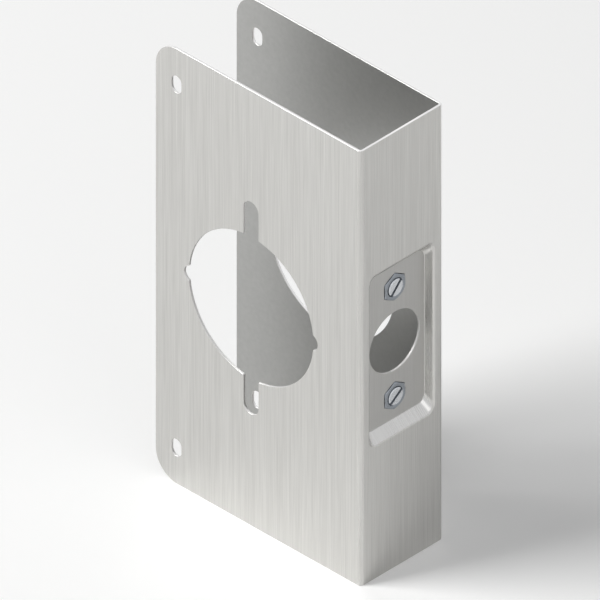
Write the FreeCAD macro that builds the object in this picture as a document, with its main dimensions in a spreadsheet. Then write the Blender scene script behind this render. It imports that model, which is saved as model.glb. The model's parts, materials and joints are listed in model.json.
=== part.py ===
import FreeCAD, Part
import os
import Sketcher

# Door reinforcer plate: a sheet folded round the edge of a door, with a lock bore through both
# flanges, a pressed pocket for the latch face, and two insert nuts with their slotted screws.
#
# Frame: the lock bore's axis is Y and crosses the origin halfway through the door and halfway
# up the plate. +X points out of the door's edge, +Z is up. All sizes are in millimetres.

SIZES = {
    # Plate
    "plate_height": 165.1,
    "flange_width": 88.9,
    "door_thickness": 34.925,
    "door_clearance": 0.1,
    "sheet_thickness": 0.9,
    "bend_radius": 0.6,
    "corner_radius": 9.5,
    # Lock bore and its reliefs
    "bore_diameter": 53.975,
    "bore_setback": 47.6,
    "relief_width": 6.5,
    "relief_reach": 40.2,
    "notch_diameter": 5.8,
    "notch_reach": 28.9,
    # Screw slots at the free edges
    "screw_slot_width": 4.2,
    "screw_slot_length": 6.3,
    "screw_slot_to_edge": 9.0,
    "screw_slot_to_end": 13.6,
    # Latch pocket
    "latch_face_width": 25.4,
    "latch_face_length": 57.15,
    "latch_face_clearance": 0.45,
    "latch_face_thickness": 2.8,
    "pocket_side_draft": 1.1,
    "pocket_end_draft": 3.2,
    "pocket_floor_radius": 2.2,
    "pocket_rim_radius": 3.2,
    "press_radius": 0.3,
    "latch_hole_diameter": 22.2,
    "latch_screw_spacing": 41.275,
    # Insert nuts
    "nut_across_flats": 9.0,
    "nut_fit": 0.05,
    "nut_stand": 0.4,
    "nut_face_diameter": 8.7,
    "nut_chamfer_angle": 30.0,
    "nut_flange_diameter": 12.0,
    "nut_flange_thickness": 2.6,
    # Slotted screws
    "screw_diameter": 4.17,
    "thread_clearance": 0.05,
    "screw_length": 9.5,
    "screw_point_chamfer": 0.5,
    "screw_head_diameter": 6.2,
    "screw_head_height": 1.6,
    "screw_head_stand": 0.3,
    "screw_head_clearance": 0.1,
    "screw_head_edge": 0.25,
    "driver_slot_width": 1.1,
    "driver_slot_depth": 0.9,
    "upper_slot_angle": 47.0,
    "lower_slot_angle": 36.0,
}

# Places and sizes that follow from the ones above
HALF_HEIGHT = "Sizes.plate_height / 2"
OUTER_HALF_GAP = "(Sizes.door_thickness / 2 + Sizes.door_clearance / 2 + Sizes.sheet_thickness)"
INNER_HALF_GAP = "(Sizes.door_thickness / 2 + Sizes.door_clearance / 2)"
WEB_OUTSIDE = "Sizes.bore_setback"
WEB_INSIDE = "(Sizes.bore_setback - Sizes.sheet_thickness)"
FREE_EDGE = "(Sizes.bore_setback - Sizes.flange_width)"
SLOT_COLUMN = "(Sizes.bore_setback - Sizes.flange_width + Sizes.screw_slot_to_edge)"
SLOT_HEIGHT = "(Sizes.plate_height / 2 - Sizes.screw_slot_to_end)"
POCKET_DEPTH = "(Sizes.latch_face_thickness + Sizes.nut_stand)"
FLOOR_FRONT = f"(Sizes.bore_setback - {POCKET_DEPTH})"
FLOOR_BACK = f"(Sizes.bore_setback - {POCKET_DEPTH} - Sizes.sheet_thickness)"
FLOOR_WIDTH = "(Sizes.latch_face_width + 2 * Sizes.latch_face_clearance)"
FLOOR_LENGTH = "(Sizes.latch_face_length + 2 * Sizes.latch_face_clearance)"

doc = FreeCAD.newDocument("DoorReinforcer")


def make_sizes():
    """Puts the driving sizes in a spreadsheet, one alias a row."""
    sheet = doc.addObject("Spreadsheet::Sheet", "Sizes")
    for row, (alias, number) in enumerate(SIZES.items(), start=1):
        sheet.set(f"A{row}", alias)
        sheet.set(f"B{row}", str(number))
        sheet.setAlias(f"B{row}", alias)
    doc.recompute()
    return sheet


sizes = make_sizes()


def value(expression):
    """The number that an expression of the sheet's sizes gives now."""
    return float(sizes.evalExpression(expression))


def new_body(label):
    """A body whose name and label are the sub-part's."""
    body = doc.addObject("PartDesign::Body", label)
    body.Label = label
    return body


def new_sketch(body, name, role, offset="0"):
    """A sketch on one of the body's own origin planes, moved along the plane's normal."""
    sketch = body.newObject("Sketcher::SketchObject", name)
    plane = next(f for f in body.Origin.OriginFeatures if f.Role == role)
    sketch.AttachmentSupport = [(plane, "")]
    sketch.MapMode = "FlatFace"
    sketch.AttachmentOffset = FreeCAD.Placement(FreeCAD.Vector(0, 0, value(offset)), FreeCAD.Rotation())
    sketch.setExpression("AttachmentOffset.Base.z", offset)
    return sketch


def constrain(sketch, kind, *where, size=None):
    """Adds a constraint, bound to an expression where it has a size."""
    if size is None:
        sketch.addConstraint(Sketcher.Constraint(kind, *where))
        return
    index = sketch.addConstraint(Sketcher.Constraint(kind, *where, value(size)))
    sketch.setExpression(f"Constraints[{index}]", size)


def place_point(sketch, edge, end, x, y):
    """Fixes a point of an edge at x and y from the sketch's origin."""
    constrain(sketch, "DistanceX", -1, 1, edge, end, size=x)
    constrain(sketch, "DistanceY", -1, 1, edge, end, size=y)


def draw_polygon(sketch, corners):
    """A closed outline of straight sides, each corner placed by its own x and y."""
    points = [FreeCAD.Vector(value(x), value(y), 0) for x, y in corners]
    following = points[1:] + points[:1]
    sides = [sketch.addGeometry(Part.LineSegment(a, b)) for a, b in zip(points, following)]
    for i, side in enumerate(sides):
        constrain(sketch, "Coincident", side, 2, sides[(i + 1) % len(sides)], 1)
        place_point(sketch, side, 1, *corners[i])


def draw_circle(sketch, x, y, diameter):
    """A circle placed by its centre."""
    centre = FreeCAD.Vector(value(x), value(y), 0)
    circle = sketch.addGeometry(Part.Circle(centre, FreeCAD.Vector(0, 0, 1), value(diameter) / 2))
    constrain(sketch, "Diameter", circle, size=diameter)
    place_point(sketch, circle, 3, x, y)


def draw_upright_slot(sketch, x, low, high, width):
    """An upright slot with round ends, whose lowest and highest points are given."""
    radius = value(width) / 2
    column = value(x)
    top = FreeCAD.Vector(column, value(high) - radius, 0)
    bottom = FreeCAD.Vector(column, value(low) + radius, 0)
    side = FreeCAD.Vector(radius, 0, 0)
    crown = FreeCAD.Vector(0, radius, 0)
    right = sketch.addGeometry(Part.LineSegment(bottom + side, top + side))
    over = sketch.addGeometry(Part.Arc(top + side, top + crown, top - side))
    left = sketch.addGeometry(Part.LineSegment(top - side, bottom - side))
    under = sketch.addGeometry(Part.Arc(bottom - side, bottom - crown, bottom + side))
    constrain(sketch, "Tangent", right, 2, over, 1)
    constrain(sketch, "Tangent", over, 2, left, 1)
    constrain(sketch, "Tangent", left, 2, under, 1)
    constrain(sketch, "Tangent", under, 2, right, 1)
    constrain(sketch, "Vertical", right)
    constrain(sketch, "Radius", over, size=f"{width} / 2")
    place_point(sketch, over, 3, x, f"{high} - {width} / 2")
    constrain(sketch, "DistanceY", -1, 1, under, 3, size=f"{low} + {width} / 2")


def draw_rounded_rectangle(sketch, width, length, radius):
    """A rectangle with round corners, centred on the sketch's origin."""
    half = FreeCAD.Vector(value(width) / 2, value(length) / 2, 0)
    turn = value(radius)
    quarter = turn * (1 - 0.5 ** 0.5)
    lines, arcs = [], []
    for sx, sy in ((1, 1), (-1, 1), (-1, -1), (1, -1)):
        corner = FreeCAD.Vector(sx * half.x, sy * half.y, 0)
        along_x = corner - FreeCAD.Vector(sx * turn, 0, 0)
        along_y = corner - FreeCAD.Vector(0, sy * turn, 0)
        middle = corner - FreeCAD.Vector(sx * quarter, sy * quarter, 0)
        first, last = (along_y, along_x) if sx == sy else (along_x, along_y)
        arcs.append((first, middle, last))
    for i, (first, middle, last) in enumerate(arcs):
        arcs[i] = (sketch.addGeometry(Part.Arc(first, middle, last)), first, last)
    for i, (arc, first, last) in enumerate(arcs):
        lines.append(sketch.addGeometry(Part.LineSegment(last, arcs[(i + 1) % 4][1])))
    for i, line in enumerate(lines):
        constrain(sketch, "Tangent", arcs[i][0], 2, line, 1)
        constrain(sketch, "Tangent", line, 2, arcs[(i + 1) % 4][0], 1)
        constrain(sketch, "Vertical" if i % 2 else "Horizontal", line)
    for i in (1, 2, 3):
        constrain(sketch, "Equal", arcs[0][0], arcs[i][0])
    constrain(sketch, "Radius", arcs[0][0], size=radius)
    place_point(sketch, arcs[0][0], 3, f"{width} / 2 - {radius}", f"{length} / 2 - {radius}")
    place_point(sketch, arcs[2][0], 3, f"{radius} - {width} / 2", f"{radius} - {length} / 2")


def draw_hexagon(sketch, across_flats, y="0"):
    """A regular hexagon on the sketch's y axis, with a corner at its top and at its bottom."""
    corner_radius = f"{across_flats} / sqrt(3)"
    radius = value(corner_radius)
    centre = FreeCAD.Vector(0, value(y), 0)
    spoke = FreeCAD.Vector(0, radius, 0)
    turn = FreeCAD.Rotation(FreeCAD.Vector(0, 0, 1), 60)
    corners = []
    for _ in range(6):
        corners.append(centre + spoke)
        spoke = turn.multVec(spoke)
    circle = sketch.addGeometry(Part.Circle(centre, FreeCAD.Vector(0, 0, 1), radius), True)
    constrain(sketch, "Radius", circle, size=corner_radius)
    place_point(sketch, circle, 3, "0", y)
    following = corners[1:] + corners[:1]
    sides = [sketch.addGeometry(Part.LineSegment(a, b)) for a, b in zip(corners, following)]
    for i, side in enumerate(sides):
        constrain(sketch, "Coincident", side, 2, sides[(i + 1) % len(sides)], 1)
        constrain(sketch, "PointOnObject", side, 1, circle)
    for side in sides[1:]:
        constrain(sketch, "Equal", sides[0], side)
    constrain(sketch, "DistanceX", -1, 1, sides[0], 1, size="0")


def pad(body, sketch, length, midplane=False, reverse=False):
    """Adds the sketch's outline, pushed out along its normal."""
    feature = body.newObject("PartDesign::Pad", f"{sketch.Name}Pad")
    feature.Profile = sketch
    feature.Midplane = midplane
    feature.Reversed = reverse
    feature.setExpression("Length", length)
    return feature


def cut_through(body, sketch, both_ways=False):
    """Cuts the sketch's outline through all that lies behind it, or on both sides of it."""
    feature = body.newObject("PartDesign::Pocket", f"{sketch.Name}Cut")
    feature.Profile = sketch
    feature.Type = "ThroughAll"
    feature.Midplane = both_ways
    return feature


def cut_to_depth(body, sketch, depth):
    """Cuts the sketch's outline down to a depth behind it."""
    feature = body.newObject("PartDesign::Pocket", f"{sketch.Name}Cut")
    feature.Profile = sketch
    feature.setExpression("Length", depth)
    return feature


def fillet_edges(body, name, base, wanted, radius):
    """Rounds the edges of a feature that the test picks out."""
    doc.recompute()
    edges = [f"Edge{i}" for i, edge in enumerate(base.Shape.Edges, start=1) if wanted(edge)]
    feature = body.newObject("PartDesign::Fillet", name)
    feature.Base = (base, edges)
    feature.setExpression("Radius", radius)
    doc.recompute()
    return feature


def is_upright(edge):
    """Whether an edge is straight and runs along Z."""
    start, end = edge.Vertexes[0].Point, edge.Vertexes[-1].Point
    return start.distanceToPoint(end) > 0 and (end - start).cross(FreeCAD.Vector(0, 0, 1)).Length < 1e-6


def pocket_section(body, name, place, width, length, radius):
    """One cross-section of the latch pocket, at its place along X."""
    sketch = new_sketch(body, name, "YZ_Plane", place)
    draw_rounded_rectangle(sketch, width, length, radius)
    return sketch


def make_plate():
    """The folded sheet: two flanges, the web between them, and all that is cut or pressed in them."""
    body = new_body("reinforcer_plate")

    section = new_sketch(body, "ChannelSection", "XY_Plane")
    draw_polygon(
        section,
        [
            (FREE_EDGE, f"-{OUTER_HALF_GAP}"),
            (WEB_OUTSIDE, f"-{OUTER_HALF_GAP}"),
            (WEB_OUTSIDE, OUTER_HALF_GAP),
            (FREE_EDGE, OUTER_HALF_GAP),
            (FREE_EDGE, INNER_HALF_GAP),
            (WEB_INSIDE, INNER_HALF_GAP),
            (WEB_INSIDE, f"-{INNER_HALF_GAP}"),
            (FREE_EDGE, f"-{INNER_HALF_GAP}"),
        ],
    )
    channel = pad(body, section, "Sizes.plate_height", midplane=True)

    outside, inside = value(WEB_OUTSIDE), value(WEB_INSIDE)
    outer_folds = fillet_edges(
        body,
        "OuterFolds",
        channel,
        lambda edge: is_upright(edge) and abs(edge.CenterOfMass.x - outside) < 1e-6,
        "Sizes.bend_radius + Sizes.sheet_thickness",
    )
    inner_folds = fillet_edges(
        body,
        "InnerFolds",
        outer_folds,
        lambda edge: is_upright(edge) and abs(edge.CenterOfMass.x - inside) < 1e-6,
        "Sizes.bend_radius",
    )
    free_edge, half_height = value(FREE_EDGE), value(HALF_HEIGHT)
    fillet_edges(
        body,
        "FreeCorners",
        inner_folds,
        lambda edge: abs(edge.CenterOfMass.x - free_edge) < 1e-6
        and abs(abs(edge.CenterOfMass.z) - half_height) < 1e-6,
        "Sizes.corner_radius",
    )

    press_latch_pocket(body)
    cut_pocket_floor(body)
    cut_flanges(body)
    return body


def wall_growth(draft):
    """How far the back of a leaning pocket wall lies outside its front, one sheet deeper."""
    slope = f"({draft} / {POCKET_DEPTH})"
    return f"((sqrt(1 + {slope} ^ 2) - {slope}) * Sizes.sheet_thickness)"


def press_latch_pocket(body):
    """The pocket pressed into the web: a loft for the back of its walls, less one for their front."""
    rim_width = f"({FLOOR_WIDTH} + 2 * Sizes.pocket_side_draft)"
    rim_length = f"({FLOOR_LENGTH} + 2 * Sizes.pocket_end_draft)"
    side_growth, end_growth = wall_growth("Sizes.pocket_side_draft"), wall_growth("Sizes.pocket_end_draft")
    back_rim_width = f"({rim_width} + 2 * {side_growth})"
    back_rim_length = f"({rim_length} + 2 * {end_growth})"

    back_rim = pocket_section(
        body,
        "PocketBackRim",
        WEB_INSIDE,
        back_rim_width,
        back_rim_length,
        "(Sizes.pocket_rim_radius + Sizes.sheet_thickness)",
    )
    back_floor = pocket_section(
        body,
        "PocketBackFloor",
        FLOOR_BACK,
        f"({FLOOR_WIDTH} + 2 * {side_growth})",
        f"({FLOOR_LENGTH} + 2 * {end_growth})",
        "(Sizes.pocket_floor_radius + Sizes.sheet_thickness)",
    )
    back = body.newObject("PartDesign::AdditiveLoft", "PocketBack")
    back.Profile = back_rim
    back.Sections = [back_floor]
    back.Ruled = True

    front_rim = pocket_section(
        body, "PocketRim", WEB_OUTSIDE, rim_width, rim_length, "Sizes.pocket_rim_radius"
    )
    front_floor = pocket_section(
        body, "PocketFloor", FLOOR_FRONT, FLOOR_WIDTH, FLOOR_LENGTH, "Sizes.pocket_floor_radius"
    )
    front = body.newObject("PartDesign::SubtractiveLoft", "PocketFront")
    front.Profile = front_rim
    front.Sections = [front_floor]
    front.Ruled = True

    reach = FreeCAD.Vector(0, value(back_rim_width) / 2, value(back_rim_length) / 2)
    pressed = front
    for name, level, radius in (
        ("RimFrontPress", WEB_OUTSIDE, "Sizes.press_radius + Sizes.sheet_thickness"),
        ("FloorFrontPress", FLOOR_FRONT, "Sizes.press_radius"),
        ("RimBackPress", WEB_INSIDE, "Sizes.press_radius"),
        ("FloorBackPress", FLOOR_BACK, "Sizes.press_radius + Sizes.sheet_thickness"),
    ):
        pressed = fillet_edges(
            body, name, pressed, lambda edge: is_in_rim(edge, value(level), reach), radius
        )


def is_in_rim(edge, level, reach):
    """Whether an edge lies at one level of X and within the pocket's reach across the web."""
    box, centre = edge.BoundBox, edge.CenterOfMass
    at_level = abs(box.XMin - level) < 1e-4 and abs(box.XMax - level) < 1e-4
    return at_level and abs(centre.y) < reach.y + 1e-4 and abs(centre.z) < reach.z + 1e-4


def cut_pocket_floor(body):
    """The latch hole, and the hexagonal holes that hold the insert nuts."""
    latch_hole = new_sketch(body, "LatchHole", "YZ_Plane", FLOOR_FRONT)
    draw_circle(latch_hole, "0", "0", "Sizes.latch_hole_diameter")
    cut_through(body, latch_hole)

    nut_holes = new_sketch(body, "NutHoles", "YZ_Plane", FLOOR_FRONT)
    for side in ("", "-"):
        draw_hexagon(
            nut_holes,
            "(Sizes.nut_across_flats + 2 * Sizes.nut_fit)",
            f"{side}Sizes.latch_screw_spacing / 2",
        )
    cut_through(body, nut_holes)


def cut_flanges(body):
    """The lock bore with its four reliefs, and the screw slots, through both flanges."""
    bore = new_sketch(body, "LockBore", "XZ_Plane")
    draw_circle(bore, "0", "0", "Sizes.bore_diameter")
    cut_through(body, bore, both_ways=True)

    relief = new_sketch(body, "UprightRelief", "XZ_Plane")
    draw_upright_slot(relief, "0", "-Sizes.relief_reach", "Sizes.relief_reach", "Sizes.relief_width")
    cut_through(body, relief, both_ways=True)

    notches = new_sketch(body, "SideNotches", "XZ_Plane")
    notch_centre = "(Sizes.notch_reach - Sizes.notch_diameter / 2)"
    for side in ("", "-"):
        draw_circle(notches, f"{side}{notch_centre}", "0", "Sizes.notch_diameter")
    cut_through(body, notches, both_ways=True)

    slots = new_sketch(body, "ScrewSlots", "XZ_Plane")
    half_slot = "Sizes.screw_slot_length / 2"
    for side in ("", "-"):
        draw_upright_slot(
            slots,
            SLOT_COLUMN,
            f"{side}{SLOT_HEIGHT} - {half_slot}",
            f"{side}{SLOT_HEIGHT} + {half_slot}",
            "Sizes.screw_slot_width",
        )
    cut_through(body, slots, both_ways=True)


def face_outwards(body, place, side):
    """Turns a fastener's own Z to the plate's X and sets it above or below the latch hole."""
    axis = FreeCAD.Vector(1, 1, 1)
    height = f"{side}Sizes.latch_screw_spacing / 2"
    base = FreeCAD.Vector(value(place), 0, value(height))
    body.Placement = FreeCAD.Placement(base, FreeCAD.Rotation(axis, 120))
    body.setExpression("Placement.Base.x", place)
    body.setExpression("Placement.Base.z", height)


def make_nut(label, side):
    """An insert nut: a hexagon in the pocket floor, a round flange behind it and a sunk seat in front."""
    body = new_body(label)
    hexagon = new_sketch(body, f"{label}_hexagon", "XY_Plane", "-Sizes.sheet_thickness")
    draw_hexagon(hexagon, "Sizes.nut_across_flats")
    pad(body, hexagon, "Sizes.sheet_thickness + Sizes.nut_stand")

    corners = new_sketch(body, f"{label}_corners", "XZ_Plane")
    face_radius, reach = "Sizes.nut_face_diameter / 2", "Sizes.nut_across_flats"
    fall = f"({reach} - {face_radius}) * tan(Sizes.nut_chamfer_angle)"
    draw_polygon(
        corners,
        [
            (face_radius, "Sizes.nut_stand"),
            (reach, "Sizes.nut_stand"),
            (reach, f"Sizes.nut_stand - {fall}"),
        ],
    )
    chamfer = body.newObject("PartDesign::Groove", f"{label}_chamfer")
    chamfer.Profile = corners
    chamfer.ReferenceAxis = (corners, ["V_Axis"])
    chamfer.Angle = 360

    flange = new_sketch(body, f"{label}_flange", "XY_Plane", "-Sizes.sheet_thickness")
    draw_circle(flange, "0", "0", "Sizes.nut_flange_diameter")
    pad(body, flange, "Sizes.nut_flange_thickness", reverse=True)

    bore = new_sketch(body, f"{label}_bore", "XY_Plane", "Sizes.nut_stand")
    draw_circle(bore, "0", "0", "Sizes.screw_diameter + 2 * Sizes.thread_clearance")
    cut_through(body, bore)

    seat = new_sketch(body, f"{label}_seat", "XY_Plane", "Sizes.nut_stand")
    draw_circle(seat, "0", "0", "Sizes.screw_head_diameter + 2 * Sizes.screw_head_clearance")
    cut_to_depth(body, seat, "Sizes.screw_head_height - Sizes.screw_head_stand")

    face_outwards(body, FLOOR_FRONT, side)
    return body


def make_screw(label, side, slot_angle):
    """A slotted machine screw, its head's seat at its own origin."""
    body = new_body(label)
    profile = new_sketch(body, f"{label}_profile", "XZ_Plane")
    draw_polygon(
        profile,
        [
            ("0", "-Sizes.screw_length"),
            ("Sizes.screw_diameter / 2 - Sizes.screw_point_chamfer", "-Sizes.screw_length"),
            ("Sizes.screw_diameter / 2", "Sizes.screw_point_chamfer - Sizes.screw_length"),
            ("Sizes.screw_diameter / 2", "0"),
            ("Sizes.screw_head_diameter / 2", "0"),
            ("Sizes.screw_head_diameter / 2", "Sizes.screw_head_height - Sizes.screw_head_edge"),
            ("Sizes.screw_head_diameter / 2 - Sizes.screw_head_edge", "Sizes.screw_head_height"),
            ("0", "Sizes.screw_head_height"),
        ],
    )
    turned = body.newObject("PartDesign::Revolution", f"{label}_turned")
    turned.Profile = profile
    turned.ReferenceAxis = (profile, ["V_Axis"])
    turned.Angle = 360

    slot = new_sketch(body, f"{label}_slot", "XY_Plane", "Sizes.screw_head_height")
    slot.setExpression("AttachmentOffset.Rotation.Angle", slot_angle)
    reach, half = "Sizes.screw_head_diameter", "Sizes.driver_slot_width / 2"
    draw_polygon(
        slot,
        [(f"-{reach}", f"-{half}"), (reach, f"-{half}"), (reach, half), (f"-{reach}", half)],
    )
    cut_to_depth(body, slot, "Sizes.driver_slot_depth")

    seat = f"{FLOOR_FRONT} + Sizes.nut_stand - Sizes.screw_head_height + Sizes.screw_head_stand"
    face_outwards(body, seat, side)
    return body


def check_model(bodies):
    """Stops if a feature failed, added or cut nothing, or left a body that isn't one valid solid."""
    failed = [o.Name for o in doc.Objects if "Invalid" in o.State or "Error" in o.State]
    if failed:
        raise RuntimeError(f"failed objects: {failed}")
    for body in bodies:
        solids = [f for f in body.Group if f.isDerivedFrom("PartDesign::Feature")]
        for before, after in zip(solids, solids[1:]):
            if abs(before.Shape.Volume - after.Shape.Volume) < 1e-3:
                raise RuntimeError(f"{after.Name} changes nothing")
        if body.Shape.isNull() or not body.Shape.isValid() or len(body.Shape.Solids) != 1:
            raise RuntimeError(f"{body.Label} isn't one valid solid")


bodies = [
    make_plate(),
    make_nut("upper_insert_nut", ""),
    make_nut("lower_insert_nut", "-"),
    make_screw("upper_latch_screw", "", "Sizes.upper_slot_angle"),
    make_screw("lower_latch_screw", "-", "Sizes.lower_slot_angle"),
]
doc.recompute()
check_model(bodies)

os.makedirs("parts", exist_ok=True)
for body in bodies:
    body.Shape.exportStep(f"parts/{body.Label}.step")
    print(f"{body.Label}: {body.Shape.Volume:.1f} mm3")
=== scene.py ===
"""Looks of a door reinforcer plate: a folded sheet, two insert nuts and two slotted screws.

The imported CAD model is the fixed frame. Its boxes and its record give the main sizes. The smaller
ones are fields here, at the CAD part's own values where it has them. Each piece is modelled
afresh, in metres, in place of its CAD node.
"""

import json
import logging
import math
from abc import ABC, abstractmethod
from contextlib import contextmanager
from dataclasses import dataclass
from enum import Enum
from typing import Any, Callable, ClassVar, Iterator

import bmesh
import bpy
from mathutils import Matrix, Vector

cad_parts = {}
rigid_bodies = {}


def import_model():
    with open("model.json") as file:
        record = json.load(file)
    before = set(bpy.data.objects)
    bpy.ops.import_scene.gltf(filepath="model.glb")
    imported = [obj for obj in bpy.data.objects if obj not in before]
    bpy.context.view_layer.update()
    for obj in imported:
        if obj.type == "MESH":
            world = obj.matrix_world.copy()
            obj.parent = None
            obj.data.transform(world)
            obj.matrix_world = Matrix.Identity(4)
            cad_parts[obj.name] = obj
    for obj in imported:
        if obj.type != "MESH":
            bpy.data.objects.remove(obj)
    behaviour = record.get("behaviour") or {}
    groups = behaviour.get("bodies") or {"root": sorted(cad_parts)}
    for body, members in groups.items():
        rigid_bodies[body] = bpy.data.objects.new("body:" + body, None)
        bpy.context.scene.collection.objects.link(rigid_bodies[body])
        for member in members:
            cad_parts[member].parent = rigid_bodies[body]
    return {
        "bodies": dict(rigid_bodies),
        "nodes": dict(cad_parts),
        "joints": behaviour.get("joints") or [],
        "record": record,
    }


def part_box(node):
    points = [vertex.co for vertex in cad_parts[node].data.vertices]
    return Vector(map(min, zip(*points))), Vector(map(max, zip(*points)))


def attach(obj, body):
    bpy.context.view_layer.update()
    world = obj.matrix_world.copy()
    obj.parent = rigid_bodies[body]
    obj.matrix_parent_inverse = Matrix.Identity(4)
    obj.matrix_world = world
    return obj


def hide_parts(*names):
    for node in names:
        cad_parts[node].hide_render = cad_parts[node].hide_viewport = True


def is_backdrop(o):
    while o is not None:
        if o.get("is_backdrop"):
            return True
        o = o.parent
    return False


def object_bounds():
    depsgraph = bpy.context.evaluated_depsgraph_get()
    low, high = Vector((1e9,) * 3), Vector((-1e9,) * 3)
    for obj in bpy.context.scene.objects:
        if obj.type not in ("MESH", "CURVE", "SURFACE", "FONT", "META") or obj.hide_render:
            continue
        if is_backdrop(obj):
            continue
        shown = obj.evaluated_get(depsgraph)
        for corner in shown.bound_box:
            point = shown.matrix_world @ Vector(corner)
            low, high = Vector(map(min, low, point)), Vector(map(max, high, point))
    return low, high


LOG = logging.getLogger("door_reinforcer")
MM = 0.001
ROOT_BODY = "root"

SMALL = 1e-6
"""Two places that are less than a micrometre apart count as one."""
NEAR = 10 * SMALL
"""How close a cut's new corners come to the line that they should lie on."""
SAW_SLACK = SMALL / 10
SQUARE_ON = 0.999
"""A flat face looks along an axis where its normal's part along that axis is past this."""
OVERSHOOT = 2
"""A cutter is this many times as long as what it has to pass through."""
SHARP_ANGLE = math.radians(32)
SMOOTH_ANGLE = math.radians(50)
LARGE_FACES_LEAD = 100
"""The strongest weight that a large flat face's direction can have in the shading beside it."""
BREAK_STEPS = 2
SLOT_SIDES = 48
BORE_SIDES = 144
"""Sides of the lock bore: its outline is true to 0.01 mm, with no corner close to a relief's."""
HEXAGON_SIDES = 6

WAVE_RATE = 20.0
"""A Wave texture at a scale of 1 runs through this many radians a metre."""
NUMBER_A, NUMBER_B = 2, 3
COLOUR_A, COLOUR_B, COLOUR_OUT = 6, 7, 2
"""Places of a Mix node's sockets, whose names repeat for each kind of data."""


class Axis(Enum):
    """The row axis that a round piece or a cutter lies along, with its first corner at its top."""

    X = (math.pi / 2, 0.0, math.pi / 2)
    Y = (-math.pi / 2, 0.0, 0.0)


class Element(Enum):
    """What a mesh is made of, with the name of its list."""

    VERT = "verts"
    EDGE = "edges"
    FACE = "faces"


class Work(Enum):
    """What a tool object does to a piece."""

    CUT = "DIFFERENCE"
    JOIN = "UNION"
    TRIM = "INTERSECT"


class Position(Enum):
    """Which of the two fasteners in the pocket a piece is, and how far its driver slot has turned."""

    UPPER = math.radians(47)
    LOWER = math.radians(36)


class Test(Enum):
    """How a mask compares a value with its limit."""

    PAST = "GREATER_THAN"
    BELOW = "LESS_THAN"


def linear(hex_colour: str) -> tuple[float, float, float, float]:
    """Turns an sRGB hex colour into the linear values that a shader takes, by the sRGB curve.

    Args:
        hex_colour: Six hex digits after a hash sign.

    Returns:
        Linear red, green, blue and an alpha of 1.
    """
    parts = [int(hex_colour[i:i + 2], 16) / 255 for i in (1, 3, 5)]
    red, green, blue = [p / 12.92 if p <= 0.04045 else ((p + 0.055) / 1.055) ** 2.4 for p in parts]
    return (red, green, blue, 1.0)


def only(piece: bpy.types.Object) -> None:
    """Makes one object the only one selected, and the active one.

    Args:
        piece: The object to select.
    """
    bpy.ops.object.select_all(action="DESELECT")
    piece.select_set(True)
    bpy.context.view_layer.objects.active = piece


@contextmanager
def edit(piece: bpy.types.Object) -> Iterator[None]:
    """Opens a piece in edit mode with nothing selected, and closes it again.

    Args:
        piece: The object to open.

    Returns:
        A context in which the piece is open.
    """
    only(piece)
    bpy.ops.object.mode_set(mode="EDIT")
    bpy.ops.mesh.select_all(action="DESELECT")
    yield
    bpy.ops.object.mode_set(mode="OBJECT")


def pick(piece: bpy.types.Object, element: Element, wanted: Callable[[Any], bool]) -> None:
    """Selects the elements of an open piece that pass a test, and no others.

    Args:
        piece: The object open in edit mode.
        element: Whether vertices, edges or faces are selected.
        wanted: The test, given each element.
    """
    bpy.ops.mesh.select_mode(type=element.name)
    bpy.ops.mesh.select_all(action="DESELECT")
    mesh = bmesh.from_edit_mesh(piece.data)
    for part in getattr(mesh, element.value):
        if wanted(part):
            part.select_set(True)
    mesh.select_flush_mode()
    bmesh.update_edit_mesh(piece.data)


def saw(point: tuple, normal: tuple, **settings: bool) -> None:
    """Cuts what is selected along a plane, exactly where the plane says."""
    bpy.ops.mesh.bisect(plane_co=point, plane_no=normal, threshold=SAW_SLACK, **settings)


def middle(edge: bmesh.types.BMEdge) -> Vector:
    """The point halfway along an edge."""
    return (edge.verts[0].co + edge.verts[1].co) / 2


def settle(piece: bpy.types.Object, name: str) -> bpy.types.Object:
    """Names a new object and puts its place, turn and scale into its mesh.

    Args:
        piece: The new object.
        name: Its name.

    Returns:
        The same object, at the origin.
    """
    piece.name = piece.data.name = name
    only(piece)
    bpy.ops.object.transform_apply(location=True, rotation=True, scale=True)
    return piece


def block(name: str, low: Vector, high: Vector) -> bpy.types.Object:
    """Adds a rectangular block between two corners.

    Args:
        name: The new object's name.
        low: Its lowest corner.
        high: Its highest corner.

    Returns:
        The block, with its place in its mesh.
    """
    bpy.ops.object.select_all(action="DESELECT")
    bpy.ops.mesh.primitive_cube_add(size=1, location=(low + high) / 2, scale=high - low)
    return settle(bpy.context.active_object, name)


def rod(name: str, axis: Axis, centre: Vector, radius: float, length: float, sides: int) -> bpy.types.Object:
    """Adds a closed prism or cylinder along a row axis.

    Args:
        name: The new object's name.
        axis: The row axis that it lies along.
        centre: The middle of its length.
        radius: From its axis to a corner of its outline.
        length: End to end.
        sides: How many sides its outline has.

    Returns:
        The rod, with its place in its mesh.
    """
    bpy.ops.object.select_all(action="DESELECT")
    bpy.ops.mesh.primitive_cylinder_add(
        vertices=sides, radius=radius, depth=length, location=centre, rotation=axis.value
    )
    return settle(bpy.context.active_object, name)


def upright_slot(name: str, centre: Vector, width: float, length: float, depth: float) -> bpy.types.Object:
    """Adds a cutter along Y for an upright slot with round ends: a rod pulled apart at its middle.

    Args:
        name: The new object's name.
        centre: The middle of the slot.
        width: Across the slot.
        length: From one round end to the other.
        depth: How long the cutter is along Y.

    Returns:
        The cutter, with its place in its mesh.
    """
    cutter = rod(name, Axis.Y, centre, width / 2, depth, SLOT_SIDES)
    stretch = (length - width) / 2
    with edit(cutter):
        for sign in (1, -1):
            pick(cutter, Element.VERT, lambda v: (v.co.z - centre.z) * sign > SMALL)
            bpy.ops.transform.translate(value=(0, 0, sign * stretch))
    return cutter


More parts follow.
